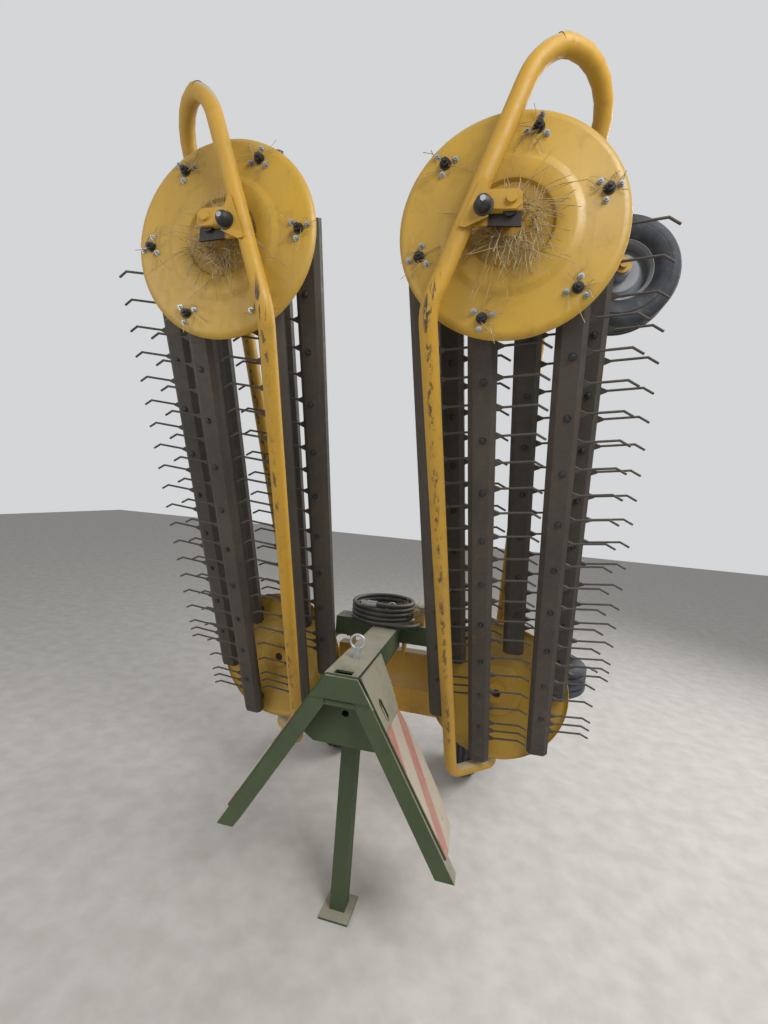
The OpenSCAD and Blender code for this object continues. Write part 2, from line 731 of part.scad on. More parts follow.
module hose_plug() {
    plug_z = hose_z + coil_turns * coil_pitch + 6;
    color(steel) translate([coil_x, coil_y - coil_r, plug_z]) rotate([0, -90, 0]) {
        cylinder(h = 46, d = 30);
        translate([0, 0, 45]) cylinder(h = 32, d = 22);
    }
}

// Square post with its foot, hinged under the main beam
module parking_stand() {
    color(green) difference() {
        union() {
            translate([-post_w / 2, stand_y - post_w / 2, 6]) cube([post_w, post_w, post_hinge_z - 6]);
            translate([-post_w / 2, stand_y, post_hinge_z]) rotate([0, 90, 0]) cylinder(h = post_w, r = post_w / 2);
            translate([-60, stand_y - 80, 0]) cube([120, 145, 8]);
        }
        translate([-post_w / 2 - 1, stand_y, post_hinge_z]) rotate([0, 90, 0]) cylinder(h = post_w + 2, r = 12 + running_gap);
        translate([-post_w / 2 + 6, stand_y - post_w / 2 + 6, 8]) cube([post_w - 12, post_w - 12, post_hinge_z - 60]);
    }
}

// Rear carrier: two arms from the cross frame, a cross tube and the castor sleeves
module castor_carrier() {
    arm_w = 70;
    tube_y = rear_castor_y - 60;
    bore_r = shaft_d / 2 + running_gap;
    color(yellow) difference() {
        union() {
            for (s = [-1, 1]) {
                translate([s * rear_castor_x, rear_castor_y, rear_castor[2] + 2])
                    cylinder(h = carrier_top - rear_castor[2] - 2, r = shaft_d / 2 + sleeve_wall);
                translate([s * 170 - arm_w / 2, cross_back, carrier_z]) cube([arm_w, tube_y - cross_back + 2, arm_w]);
            }
            translate([-rear_castor_x - 20, tube_y, carrier_z]) cube([2 * rear_castor_x + 40, 50, arm_w]);
        }
        for (s = [-1, 1])
            translate([s * rear_castor_x, rear_castor_y, 300]) cylinder(h = 500, r = bore_r);
        for (s = [-1, 1])
            translate([s * 170 - arm_w / 2 + 6, cross_back + 6, carrier_z + 6])
                cube([arm_w - 12, tube_y - cross_back - 12, arm_w - 12]);
        translate([-rear_castor_x + 30, tube_y + 6, carrier_z + 6]) cube([2 * rear_castor_x - 60, 38, arm_w - 12]);
    }
}

coupler_frame();
main_beam();
cross_beam();
headstock();
ring_pins();
parking_stand();
castor_carrier();
valve_block();
hose_lead();
hose_coil();
hose_plug();

for (i = [0, 1]) {
    side = SIDES[i];
    on_side(side) marker_board();
    on_side(side) loop_frame();
    on_side(side) drive_motor();
    on_side(side) upper_disc(i);
    on_side(side) lower_disc(i);
    on_side(side) fold_barrel();
    on_side(side) fold_rod();
    on_side(side) outer_place() fork(outer_trail, sleeve_l + 16);
    on_side(side) outer_place() wheel_place(outer_trail) tyre();
    on_side(side) outer_place() wheel_place(outer_trail) rim();
    on_side(side) inner_place() fork(inner_trail, sleeve_l + 16);
    on_side(side) inner_place() wheel_place(inner_trail) tyre();
    on_side(side) inner_place() wheel_place(inner_trail) rim();
    on_side(side) rear_place() fork(rear_trail, carrier_top - rear_castor[2] + 16);
    on_side(side) rear_place() wheel_place(rear_trail) tyre();
    on_side(side) rear_place() wheel_place(rear_trail) rim();
    for (k = [1:bar_count])
        on_side(side) tine_bar(i, k);
}
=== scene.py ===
"""Looks of the folded rotary hay rake.

Finishes for its CAD pieces, dressed discs and wheels, the hydraulic hose, fasteners and hay. Sizes are in
metres and colours are linear. Shapes are drawn for the right-hand reel and mirrored for the left one.
"""

import json
import math
import random

import bmesh
import bpy
from mathutils import Matrix, Vector


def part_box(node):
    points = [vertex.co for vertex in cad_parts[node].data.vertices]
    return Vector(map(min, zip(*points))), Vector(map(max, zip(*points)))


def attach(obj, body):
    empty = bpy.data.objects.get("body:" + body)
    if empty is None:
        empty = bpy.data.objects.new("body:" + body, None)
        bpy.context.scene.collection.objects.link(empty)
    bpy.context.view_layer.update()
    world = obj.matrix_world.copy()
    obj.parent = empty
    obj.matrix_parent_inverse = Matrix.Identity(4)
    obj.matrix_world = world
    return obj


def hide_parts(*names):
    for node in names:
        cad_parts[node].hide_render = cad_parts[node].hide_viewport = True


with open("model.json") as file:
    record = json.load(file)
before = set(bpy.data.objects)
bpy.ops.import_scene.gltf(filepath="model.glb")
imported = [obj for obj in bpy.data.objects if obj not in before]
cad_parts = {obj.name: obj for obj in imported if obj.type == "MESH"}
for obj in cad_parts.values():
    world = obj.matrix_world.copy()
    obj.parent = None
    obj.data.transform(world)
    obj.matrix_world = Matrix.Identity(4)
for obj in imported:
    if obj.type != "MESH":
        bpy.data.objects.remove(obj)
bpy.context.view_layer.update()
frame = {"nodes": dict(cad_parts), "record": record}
nodes = frame["nodes"]

SIDES = {"right": 1, "left": -1}
ACROSS = Vector((1, 0, 0))
BACK = Vector((0, 1, 0))
UP = Vector((0, 0, 1))

# Reels: centres of the upper and lower disc, circle of the bar pins and the angle of a side's first pin
UPPER = Vector((0.454, -0.844, 2.470))
LOWER = Vector((0.543, 0.041, 0.800))
BARS = 6
PIN_R = 0.266
FIRST_PIN = {"right": 17.9, "left": 56.0}

# Pressed discs: face as (radius, height), plate, how far inside the turned edge its back lies, and hub
DISC_LINE = [(0.036, -0.003), (0.108, -0.003), (0.116, -0.001), (0.124, 0.008), (0.130, 0.010),
    (0.176, 0.010), (0.182, 0.009), (0.196, 0.002), (0.204, 0.0), (0.296, 0.0), (0.304, -0.001),
    (0.312, -0.005), (0.318, -0.010), (0.320, -0.014)]
DISC_T = 0.004
EDGE_FROM, EDGE_INSET = 0.30, 0.003
HUB_LINE = [(0.0203, -0.044), (0.046, -0.044), (0.046, 0.014), (0.040, 0.020), (0.0203, 0.022)]
DISC_STEPS, HUB_STEPS = 96, 40

# At each bar pin: nut, sleeve behind the disc, washer, and three small nuts round them
SEAT = 0.0005
PIN_NUT_R, PIN_NUT_H = 0.0122, 0.018
SLEEVE_R, SLEEVE_H = 0.014, 0.050
WASHER_R, WASHER_T, WASHER_BACK = 0.029, 0.004, 0.007
SMALL_NUT_R, SMALL_NUT_H, SMALL_NUT_CIRCLE = 0.0066, 0.009, 0.031
SMALL_NUT_TURNS = (20, 140, 260)

# Tine bars: line about the pins, depth of the folded section, tines, and those that a bolt head follows
BAR_OFFSET = 0.066
BAR_DEPTH = 0.042
FIRST_TINE, TINE_PITCH = 0.060, 0.094
BOLTED_TINES = range(1, 18, 2)
BOLT_LAG, BOLT_SHIFT, BOLT_SINK = 0.1, 0.006, 0.0002
# Bolt head as (foot, lower radius, height, upper radius, sides)
BOLT_HEAD = ((0.0, 0.0125, 0.0015, 0.0125, 16), (0.0015, 0.0095, 0.004, 0.0085, 12),
    (0.0055, 0.0085, 0.002, 0.0045, 12))

# Wheels
TYRE_R, TYRE_W, RIM_R = 0.190, 0.155, 0.105
HUB_BORE, HUB_PROUD = 0.0128, 0.006
BEAD_INSET = 0.022
TYRE_STEPS, RIM_STEPS = 96, 64

# Bracket of the upper axle: gusset and arm as outlines of (x, z), the arm's flanges as (low, high), nut
BRACKET_Y = -0.9335
GUSSET = [(0.322, 2.424), (0.340, 2.420), (0.399, 2.446), (0.400, 2.500), (0.381, 2.552), (0.372, 2.545)]
ARM = [(0.392, 2.466), (0.470, 2.462), (0.484, 2.474), (0.484, 2.502), (0.472, 2.514), (0.392, 2.516)]
GUSSET_T, ARM_T = 0.005, 0.004
FLANGES = ((2.462, 2.4665), (2.5095, 2.514))
FLANGE_X, FLANGE_W, FLANGE_D, FLANGE_BACK = 0.435, 0.076, 0.050, 0.024
BOSS_PLACE, BOSS_R, BOSS_TOP_R, BOSS_H, BOSS_PROUD = (0.457, 2.489), 0.015, 0.013, 0.010, 0.003
AXLE_NUT = (0.385, 2.473)
NUT_LINE = [(0.0, 0.036), (0.009, 0.0345), (0.016, 0.030), (0.0205, 0.023), (0.0215, 0.016), (0.0215, 0.004),
    (0.027, 0.003), (0.027, 0.0), (0.0, 0.0)]
NUT_STEPS, NUT_PROUD = 36, 0.005
CAP_PROUD, CAP_R, CAP_H = 0.040, 0.0085, 0.003

# Hydraulic hose: diameter, height of its first turn, lead from the valve block and coil on the beams
HOSE_D = 0.022
HOSE_Z = 1.0413
HOSE_LEAD = [(0.145, 0.108), (0.145, 0.092), (0.143, 0.074), (0.137, 0.053), (0.126, 0.033), (0.109, 0.015),
    (0.087, 0.004), (0.062, 0), (0.036, 0), (0.010, 0)]
COIL_CENTRE = Vector((-0.050, 0.150, 0))
COIL_R, COIL_PITCH, COIL_TURNS = 0.150, 0.0225, 4
COIL_STEPS = 28
# The last steps of the coil rise a little, so that its end lies level with the plug
COIL_LIFT, LIFT_STEPS = 0.006, 3.5

# Marker boards: direction down a board as shares of X and Z, its upper front corner, the slope of the line
# across which the faded stripes change, and where they change
BOARD_DOWN_X, BOARD_DOWN_Z = 0.5205, -0.854
BOARD_TOP, BOARD_FRONT = 0.841, 0.66
STRIPE_SLOPE = 2.6
STRIPE_EDGES = (0.415, 0.660, 0.840)
STRIPE_BLUR = 0.002

# Straws: radius, points, most that one stands out of its disc, and ranges of their random draws
STRAW_R = 0.0009
STRAW_POINTS = 4
STRAW_PROUD = 0.4
OUTWARD, SIDEWAYS, SHARE = (-0.2, 1.0), (-1.2, 1.2), (0.35, 1.0)
BEND_X, BEND_Z, THICKNESS = (-1, 1), (-1, 0.2), (0.7, 1.5)
NEST_OUT, NEST_SHIFT = 0.012, Vector((0.016, 0, -0.018))
PIN_STRAW_OUT = 0.004
STRAW_SEED = {"right": 4, "left": 5}
BEAM_STRAW = Vector((0.13, 0.16, 1.062))

# Camera: place, turn in degrees, focal length in pixels of the photograph's height
CAMERA_PLACE = (0.511, -2.310, 1.710)
YAW, PITCH, ROLL = 13.66, -2.99, 4.42
FOCAL_PIXELS, FRAME_PIXELS, SENSOR = 496.3, 1024, 36.0

# Studio: lamps as name, place, target, size, watts; light of the world on the object, backdrop and floor
LAMPS = (("key", (2.6, -2.6, 4.6), (0, -0.2, 1.6), 2.2, 150),
    ("rim", (3.2, 2.4, 3.6), (0, 0, 1.6), 2.5, 120),
    ("fill", (-2.8, -3.4, 2.2), (-0.3, -0.4, 1.4), 3.0, 55))
SKY, SKY_STRENGTH = (0.80, 0.82, 0.85, 1), 0.42
BACKDROP, BACKDROP_IN_GLOSS = (0.66, 0.67, 0.68, 1), 0.7
FLOOR_HALF = 14
FLOOR_DARK, FLOOR_PALE = (0.54, 0.51, 0.47), (0.62, 0.59, 0.55)

# Colours that several finishes share
CHIP_BROWN = (0.070, 0.035, 0.020)
RUN_BROWN = (0.16, 0.085, 0.035)
SPECK_BROWN = (0.10, 0.055, 0.030)
# Painted shade under the arms of the upper axles' brackets
BRACKET_SHADE_BLACK = (0.020, 0.016, 0.012)
WORN_BLACK = (0.045, 0.032, 0.024)

# Painted shade under the arm of the tube's bracket, and the height over which the tube's wear fades, each
# from none to full
BRACKET_SHADE_Z, BRACKET_SHADE_Y, BRACKET_SHADE_X = (2.476, 2.470), (-0.90, -0.905), (0.392, 0.400)
WEAR_Z = (2.34, 2.26)


# ---- camera, lights, floor ----

def make_camera():
    yaw, pitch, roll = (math.radians(a) for a in (YAW, PITCH, ROLL))
    ahead = Vector((-math.sin(yaw) * math.cos(pitch), math.cos(yaw) * math.cos(pitch), math.sin(pitch)))
    level = Vector((math.cos(yaw), math.sin(yaw), 0))
    above = level.cross(ahead)
    right = math.cos(roll) * level + math.sin(roll) * above
    top = -math.sin(roll) * level + math.cos(roll) * above
    data = bpy.data.cameras.new("camera")
    data.sensor_fit = "VERTICAL"
    data.sensor_height = SENSOR
    data.lens = FOCAL_PIXELS / FRAME_PIXELS * SENSOR
    data.clip_start = 0.05
    camera = bpy.data.objects.new("camera", data)
    bpy.context.scene.collection.objects.link(camera)
    turn = Matrix((right, top, -ahead)).transposed().to_4x4()
    camera.matrix_world = Matrix.Translation(CAMERA_PLACE) @ turn
    bpy.context.scene.camera = camera


def make_lamp(name, place, target, size, watts):
    data = bpy.data.lights.new(name, "AREA")
    data.size = size
    data.energy = watts
    lamp = bpy.data.objects.new(name, data)
    lamp.location = place
    lamp.rotation_euler = (Vector(target) - Vector(place)).to_track_quat("-Z", "Y").to_euler()
    bpy.context.scene.collection.objects.link(lamp)


def make_world():
    """Soft light from all round, and a pale backdrop for the camera and for what shines."""
    bpy.context.scene.view_settings.view_transform = "Standard"
    world = bpy.data.worlds.new("studio")
    bpy.context.scene.world = world
    world.use_nodes = True
    tree = world.node_tree
    sky = tree.nodes["Background"]
    sky.inputs["Color"].default_value = SKY
    sky.inputs["Strength"].default_value = SKY_STRENGTH
    backdrop = tree.nodes.new("ShaderNodeBackground")
    backdrop.inputs["Color"].default_value = BACKDROP
    rays = tree.nodes.new("ShaderNodeLightPath")
    direct = combine(tree, "MAXIMUM", rays.outputs["Is Camera Ray"], rays.outputs["Is Transmission Ray"])
    glossy = combine(tree, "MULTIPLY", rays.outputs["Is Glossy Ray"], BACKDROP_IN_GLOSS)
    mixer = tree.nodes.new("ShaderNodeMixShader")
    tree.links.new(combine(tree, "MAXIMUM", direct, glossy), mixer.inputs["Fac"])
    tree.links.new(sky.outputs["Background"], mixer.inputs[1])
    tree.links.new(backdrop.outputs["Background"], mixer.inputs[2])
    tree.links.new(mixer.outputs["Shader"], tree.nodes["World Output"].inputs["Surface"])


def make_floor():
    bm = bmesh.new()
    bmesh.ops.create_grid(bm, x_segments=1, y_segments=1, size=FLOOR_HALF)
    floor = make_object("floor", bm)
    matter, tree, skin = new_material("floor_grey", 0.85)
    spots = stretch(tree, noise(tree, 9.0, 6), 0.35, 0.65)
    tree.links.new(blend_colours(tree, spots, FLOOR_DARK, FLOOR_PALE), skin.inputs["Base Color"])
    floor.data.materials.append(matter)


# ---- node helpers for the finishes ----

def new_material(name, rough, metal=0.0):
    matter = bpy.data.materials.new(name)
    matter.use_nodes = True
    skin = matter.node_tree.nodes["Principled BSDF"]
    skin.inputs["Roughness"].default_value = rough
    skin.inputs["Metallic"].default_value = metal
    return matter, matter.node_tree, skin


def place_coords(tree, stretch_by=(1, 1, 1)):
    """Object coordinates; a larger number makes the pattern finer along that axis."""
    coords = tree.nodes.new("ShaderNodeTexCoord")
    mapping = tree.nodes.new("ShaderNodeMapping")
    mapping.inputs["Scale"].default_value = stretch_by
    tree.links.new(coords.outputs["Object"], mapping.inputs["Vector"])
    return mapping.outputs["Vector"]


def split_coords(tree):
    parts = tree.nodes.new("ShaderNodeSeparateXYZ")
    tree.links.new(place_coords(tree), parts.inputs["Vector"])
    return parts.outputs


def noise(tree, scale, detail=4, rough=0.55, coords=None):
    node = tree.nodes.new("ShaderNodeTexNoise")
    node.inputs["Scale"].default_value = scale
    node.inputs["Detail"].default_value = detail
    node.inputs["Roughness"].default_value = rough
    tree.links.new(coords or place_coords(tree), node.inputs["Vector"])
    return node.outputs["Fac"]


def stretch(tree, value, low, high, out_low=0.0, out_high=1.0):
    """Spreads low to high over the out range, and holds its ends beyond them; low may be the larger one."""
    node = tree.nodes.new("ShaderNodeMapRange")
    node.inputs["From Min"].default_value = low
    node.inputs["From Max"].default_value = high
    node.inputs["To Min"].default_value = out_low
    node.inputs["To Max"].default_value = out_high
    tree.links.new(value, node.inputs["Value"])
    return node.outputs["Result"]


def combine(tree, how, a, b):
    node = tree.nodes.new("ShaderNodeMath")
    node.operation = how
    for socket, value in zip(node.inputs, (a, b)):
        if isinstance(value, (int, float)):
            socket.default_value = value
        else:
            tree.links.new(value, socket)
    return node.outputs["Value"]


def blend_colours(tree, share, a, b):
    node = tree.nodes.new("ShaderNodeMix")
    node.data_type = "RGBA"
    sockets = [s for s in node.inputs if s.type == "RGBA"]
    tree.links.new(share, node.inputs["Factor"])
    for socket, value in zip(sockets, (a, b)):
        if isinstance(value, tuple):
            socket.default_value = (*value, 1)
        else:
            tree.links.new(value, socket)
    return [s for s in node.outputs if s.type == "RGBA"][0]


def dent(tree, skin, height, strength, distance):
    node = tree.nodes.new("ShaderNodeBump")
    node.inputs["Strength"].default_value = strength
    node.inputs["Distance"].default_value = distance
    tree.links.new(height, node.inputs["Height"])
    tree.links.new(node.outputs["Normal"], skin.inputs["Normal"])


def facing(tree, axis, low, high):
    """How far the surface turns towards an axis: 0 where the cosine is below low, 1 above high."""
    shape = tree.nodes.new("ShaderNodeNewGeometry")
    dot = tree.nodes.new("ShaderNodeVectorMath")
    dot.operation = "DOT_PRODUCT"
    dot.inputs[1].default_value = axis
    tree.links.new(shape.outputs["Normal"], dot.inputs[0])
    return stretch(tree, dot.outputs["Value"], low, high)


# ---- finishes ----

def rust_runs(tree, tone, share):
    """Brown runs down the surface."""
    runs = noise(tree, 6.0, 4, 0.6, place_coords(tree, (9, 9, 0.7)))
    return blend_colours(tree, stretch(tree, runs, 0.56, 0.80, 0.0, share), tone, RUN_BROWN)


def settled_dust(tree, tone, dust, dust_from):
    """Dust on what faces up."""
    cover = stretch(tree, noise(tree, 7.0, 6), 0.30, 0.52, 0.55, 0.95)
    settled = combine(tree, "MULTIPLY", facing(tree, UP, dust_from, dust_from + 0.25), cover)
    return blend_colours(tree, settled, tone, dust)


def painted_bracket_shade(tree, tone):
    """Painted shade: a dark patch on the plate behind each upper axle, under its arm, with a ragged upper
    edge.
    """
    x, y, z = split_coords(tree)
    ragged = combine(tree, "ADD", z, combine(tree, "MULTIPLY", noise(tree, 60.0, 4), 0.010))
    inside = combine(tree, "MULTIPLY", stretch(tree, ragged, *BRACKET_SHADE_Z), stretch(tree, y, *BRACKET_SHADE_Y))
    out = combine(tree, "ABSOLUTE", x, 0)
    inside = combine(tree, "MULTIPLY", inside, stretch(tree, out, *BRACKET_SHADE_X))
    return blend_colours(tree, inside, tone, BRACKET_SHADE_BLACK)


def rubbed_strip(tree, tone, axis):
    """Paint rubbed through in torn patches along what faces an axis."""
    torn = stretch(tree, noise(tree, 1.0, 6, 0.7, place_coords(tree, (64, 64, 8))), 0.52, 0.55)
    patches = stretch(tree, noise(tree, 3.1, 2), 0.40, 0.48)
    torn = combine(tree, "MULTIPLY", torn, stretch(tree, split_coords(tree)["Z"], *WEAR_Z))
    torn = combine(tree, "MULTIPLY", torn, patches)
    strip = combine(tree, "MULTIPLY", facing(tree, axis, 0.80, 0.93), torn)
    return blend_colours(tree, strip, tone, WORN_BLACK)


def painted(name, fresh, faded, rough=0.45, rust=0.62, chips=0.70, streaks=0.0, dust=None, dust_from=0.35,
        worn_side=None, bracket_shaded=False):
    """Old machine paint, faded in clouds and chipped.

    A higher rust or chips value leaves fewer chips. streaks is the strength of brown runs, dust the colour
    of what lies on surfaces that face up by more than dust_from, worn_side where a rubbed strip faces.
    """
    matter, tree, skin = new_material(name, rough)
    clouds = noise(tree, 2.6, 5)
    fine = noise(tree, 38.0, 6, 0.7)
    tone = blend_colours(tree, stretch(tree, clouds, 0.34, 0.68), fresh, faded)
    grime = stretch(tree, noise(tree, 11.0, 8, 0.75), 0.52, 0.80, 0.0, 0.55)
    tone = blend_colours(tree, grime, tone, tuple(c * 0.42 for c in faded))
    if streaks:
        tone = rust_runs(tree, tone, streaks)
    chipped = combine(tree, "MULTIPLY", stretch(tree, fine, chips, chips + 0.03),
        stretch(tree, noise(tree, 5.0, 3), rust - 0.12, rust))
    tone = blend_colours(tree, chipped, tone, CHIP_BROWN)
    if dust:
        tone = settled_dust(tree, tone, dust, dust_from)
    # Painted shade under the arm of the axle bracket
    if bracket_shaded:
        tone = painted_bracket_shade(tree, tone)
    if worn_side:
        tone = rubbed_strip(tree, tone, worn_side)
    tree.links.new(tone, skin.inputs["Base Color"])
    tree.links.new(stretch(tree, fine, 0.25, 0.75, rough - 0.10, rough + 0.25), skin.inputs["Roughness"])
    dent(tree, skin, combine(tree, "ADD", fine, combine(tree, "MULTIPLY", chipped, -1.5)), 0.35, 0.0008)
    return matter


def zinc_plate(name):
    """Bright plated steel with dull clouds and specks of rust."""
    matter, tree, skin = new_material(name, 0.36, 0.75)
    fine = noise(tree, 60.0, 6, 0.7)
    clouds = stretch(tree, noise(tree, 14.0, 5), 0.36, 0.66)
    tone = blend_colours(tree, clouds, (0.52, 0.55, 0.57), (0.27, 0.28, 0.28))
    tone = blend_colours(tree, stretch(tree, fine, 0.58, 0.74, 0.0, 0.7), tone, SPECK_BROWN)
    tree.links.new(tone, skin.inputs["Base Color"])
    tree.links.new(stretch(tree, fine, 0.3, 0.7, 0.36 - 0.1, 0.36 + 0.2), skin.inputs["Roughness"])
    dent(tree, skin, fine, 0.3, 0.0006)
    return matter


def rubber_with_dust_and_sheen(name):
    matter, tree, skin = new_material(name, 0.72)
    # Painted sheen: the black rubber turns bluish grey in patches; brown dust is laid over it next
    patches = stretch(tree, noise(tree, 9.0, 7, 0.65), 0.36, 0.70)
    tone = blend_colours(tree, patches, (0.018, 0.020, 0.025), (0.065, 0.075, 0.090))
    dust = stretch(tree, noise(tree, 40.0, 5), 0.56, 0.74, 0.0, 0.6)
    tone = blend_colours(tree, dust, tone, (0.13, 0.115, 0.095))
    tree.links.new(tone, skin.inputs["Base Color"])
    dent(tree, skin, noise(tree, 120.0, 4), 0.35, 0.0008)
    return matter


def striped_board(name):
    """Faded red and white stripes across the marker boards, with the paint washed out in clouds."""
    matter, tree, skin = new_material(name, 0.6)
    x, y, z = split_coords(tree)
    down = combine(tree, "ADD", combine(tree, "MULTIPLY", combine(tree, "ABSOLUTE", x, 0), BOARD_DOWN_X),
        combine(tree, "MULTIPLY", z, BOARD_DOWN_Z))
    along = combine(tree, "ADD", combine(tree, "ADD", down, combine(tree, "MULTIPLY", y, STRIPE_SLOPE)),
        BOARD_TOP + BOARD_FRONT * STRIPE_SLOPE)
    first, second, third = (stretch(tree, along, edge - STRIPE_BLUR, edge + STRIPE_BLUR)
        for edge in STRIPE_EDGES)
    white = combine(tree, "ADD", combine(tree, "SUBTRACT", first, second), third)
    tone = blend_colours(tree, white, (0.46, 0.15, 0.12), (0.52, 0.45, 0.35))
    washed = stretch(tree, noise(tree, 16.0, 7, 0.7), 0.36, 0.72, 0.10, 0.60)
    tone = blend_colours(tree, washed, tone, (0.44, 0.36, 0.28))
    grime = stretch(tree, noise(tree, 42.0, 6, 0.7), 0.60, 0.72, 0.0, 0.6)
    tone = blend_colours(tree, grime, tone, (0.20, 0.15, 0.11))
    tree.links.new(tone, skin.inputs["Base Color"])
    dent(tree, skin, noise(tree, 50.0, 5), 0.3, 0.0006)
    return matter


def dry_straw(name):
    matter, tree, skin = new_material(name, 0.7)
    clouds = stretch(tree, noise(tree, 30.0, 3), 0.35, 0.65)
    tone = blend_colours(tree, clouds, (0.50, 0.38, 0.18), (0.24, 0.17, 0.09))
    tree.links.new(tone, skin.inputs["Base Color"])
    return matter


YELLOW = painted("yellow_paint", (0.52, 0.290, 0.020), (0.44, 0.250, 0.034), streaks=0.35)
# The tube's finish carries painted shade under the axle brackets' arms
TUBE_YELLOW = painted("tube_yellow", (0.54, 0.300, 0.022), (0.46, 0.265, 0.040), streaks=0.15,
    dust=(0.42, 0.36, 0.24), worn_side=-BACK, bracket_shaded=True)
YELLOW_DUSTY = painted("yellow_paint_dusty", (0.50, 0.270, 0.022), (0.42, 0.240, 0.040), streaks=0.4,
    dust=(0.33, 0.27, 0.18))
DISC_YELLOW = painted("disc_yellow", (0.50, 0.295, 0.026), (0.43, 0.265, 0.046), rough=0.36, rust=0.66,
    chips=0.68, streaks=0.16)
GREEN = painted("green_paint", (0.040, 0.064, 0.024), (0.064, 0.086, 0.038), rough=0.55,
    dust=(0.36, 0.33, 0.25))
COUPLER_GREEN = painted("coupler_green", (0.040, 0.064, 0.024), (0.064, 0.086, 0.038), rough=0.55,
    dust=(0.37, 0.33, 0.25), dust_from=0.30)
BAR_STEEL = painted("bar_steel", (0.048, 0.040, 0.032), (0.074, 0.061, 0.048), rough=0.6, chips=0.74,
    streaks=0.5)
BLACK = painted("black_paint", (0.014, 0.014, 0.015), (0.030, 0.029, 0.028), rough=0.42)
RIM_GREY = painted("rim_grey", (0.22, 0.24, 0.26), (0.30, 0.31, 0.32), rough=0.5)
HOSE_BLACK = painted("hose_black", (0.020, 0.020, 0.021), (0.045, 0.043, 0.041), rough=0.5,
    dust=(0.16, 0.14, 0.12))
BRIGHT = zinc_plate("zinc_bolt")
RUBBER = rubber_with_dust_and_sheen("tyre_rubber")
BOARD = striped_board("board_stripes")
STRAW = dry_straw("dry_straw")

# Finish and material slot of the CAD nodes, by the start of their names
FINISHES = {
    "coupler_frame": (COUPLER_GREEN, "green_paint"),
    "main_beam": (GREEN, "green_paint"),
    "cross_beam": (GREEN, "green_paint"),
    "headstock": (YELLOW_DUSTY, "yellow_paint"),
    "ring_pins": (BRIGHT, "bare_steel"),
    "parking_stand": (GREEN, "green_paint"),
    "castor_carrier": (YELLOW, "yellow_paint"),
    "valve_block": (YELLOW_DUSTY, "yellow_paint"),
    "hose_plug": (BRIGHT, "bare_steel"),
    "marker_board": (BOARD, "board_stripes"),
    "loop_frame": (TUBE_YELLOW, "yellow_paint"),
    "drive_motor": (BLACK, "dark_steel"),
    "fold_barrel": (BLACK, "dark_steel"),
    "fold_rod": (BRIGHT, "bare_steel"),
    "outer_fork": (YELLOW, "yellow_paint"),
    "inner_fork": (YELLOW, "yellow_paint"),
    "rear_fork": (YELLOW, "yellow_paint"),
    "tine_bar": (BAR_STEEL, "tine_steel")}


# ---- mesh helpers ----

def make_object(name, bm, matter=None, body=None, smooth=35.0, replaces=()):
    """Closes a bmesh into a piece, smooth but for its sharp edges, riding on a body."""
    bmesh.ops.remove_doubles(bm, verts=bm.verts, dist=1e-5)
    bmesh.ops.recalc_face_normals(bm, faces=bm.faces)
    for face in bm.faces:
        face.smooth = True
    for edge in bm.edges:
        edge.smooth = not (len(edge.link_faces) == 2 and edge.calc_face_angle(0) > math.radians(smooth))
    mesh = bpy.data.meshes.new(name)
    bm.to_mesh(mesh)
    bm.free()
    piece = bpy.data.objects.new(name, mesh)
    bpy.context.scene.collection.objects.link(piece)
    if matter:
        mesh.materials.append(matter)
    if body:
        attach(piece, body)
    if replaces:
        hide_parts(*replaces)
    return piece


def upright(axis):
    """Turn that lays +Z along the axis."""
    return Vector(axis).to_track_quat("Z", "Y").to_matrix().to_4x4()


def lathe(bm, line, centre, axis, steps):
    """Spins a closed line of (radius, height) points about the axis through the centre."""
    turn = Matrix.Translation(centre) @ upright(axis)
    verts = [bm.verts.new(turn @ Vector((r, 0, h))) for r, h in line]
    edges = [bm.edges.new(pair) for pair in zip(verts, verts[1:] + verts[:1])]
    bmesh.ops.spin(bm, geom=verts + edges, cent=Vector(centre), axis=Vector(axis).normalized(),
        angle=math.tau, steps=steps, use_merge=True)


def add_disc(bm, centre, axis, radius, height, segments=24, radius2=None):
    """A round or many-sided stub whose foot is at the centre."""
    place = Matrix.Translation(centre) @ upright(axis) @ Matrix.Translation((0, 0, height / 2))
    bmesh.ops.create_cone(bm, cap_ends=True, segments=segments, radius1=radius,
        radius2=radius if radius2 is None else radius2, depth=height, matrix=place)


def add_nut(bm, centre, axis, radius, height, stud):
    """Hexagon nut with a washer under it and the bolt's end standing out by a share of its height."""
    axis = Vector(axis).normalized()
    centre = Vector(centre)
    add_disc(bm, centre, axis, radius * 1.35, height * 0.16, 20)
    add_disc(bm, centre + axis * height * 0.14, axis, radius, height * 0.80, 6)
    add_disc(bm, centre + axis * height * 0.90, axis, radius * 0.52, height * stud, 12, radius * 0.44)


def mirrored(point, side):
    return Vector((point[0] * SIDES[side], point[1], point[2]))


def pin_offset(side, k):
    """From a disc's centre to its bar pin k, before mirroring."""
    a = math.radians(FIRST_PIN[side] - 360 / BARS * k)
    return Vector((PIN_R * math.cos(a), 0, PIN_R * math.sin(a)))


def body_of(node):
    for name, held in frame["record"]["behaviour"]["bodies"].items():
        if node in held:
            return name


# ---- pieces ----

def finish_cad_pieces():
    """Stands a merged, smooth-shaded copy for each CAD node whose shape is right as it is."""
    for name in list(nodes):
        for stem, (matter, slot) in FINISHES.items():
            if name == stem or name.startswith(stem + "_right") or name.startswith(stem + "_left"):
                bm = bmesh.new()
                bm.from_mesh(nodes[name].data)
                make_object(name + "_look", bm, matter, body_of(name), 32.0, (name,))


